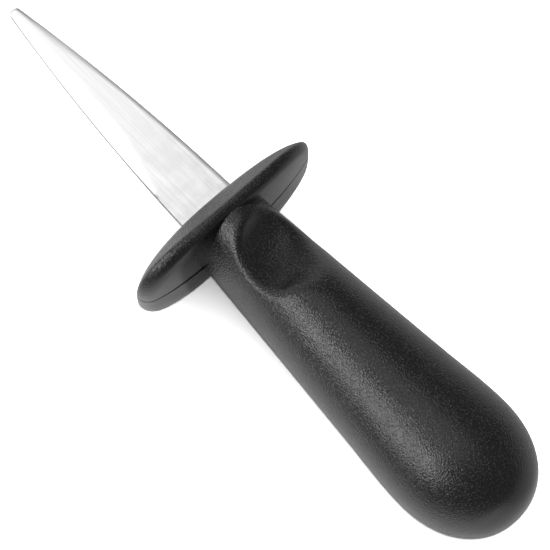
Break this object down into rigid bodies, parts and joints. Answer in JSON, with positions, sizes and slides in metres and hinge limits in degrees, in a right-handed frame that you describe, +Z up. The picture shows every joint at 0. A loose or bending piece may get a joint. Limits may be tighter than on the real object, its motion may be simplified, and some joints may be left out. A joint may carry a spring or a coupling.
{
  "type": "oyster knife",
  "caption": "Oyster knife: short lancet-shaped steel blade with a rounded tip, oval hand guard and pear-shaped plastic handle with a thumb dish, for prying shells open.",
  "frame": {"origin": "on the surface that the knife lies on, under the middle of its overall length and width", "axes": "+X along the knife towards the blade's tip, +Y towards the sharpened edge, +Z up, out of the thumb dish"},
  "size_m": [0.1836, 0.0578, 0.0362],
  "materials": {
    "blade_steel": "fine lengthwise grinding lines with a smoother bevel along the sharpened edge",
    "handle_plastic": "moulded, satin, with a fine pebble grain that is fainter on the guard's rear face"
  },
  "bodies": {
    "root": {"blade": "blade_steel", "upper_shell": "handle_plastic", "lower_shell": "handle_plastic"}
  },
  "joints": []
}
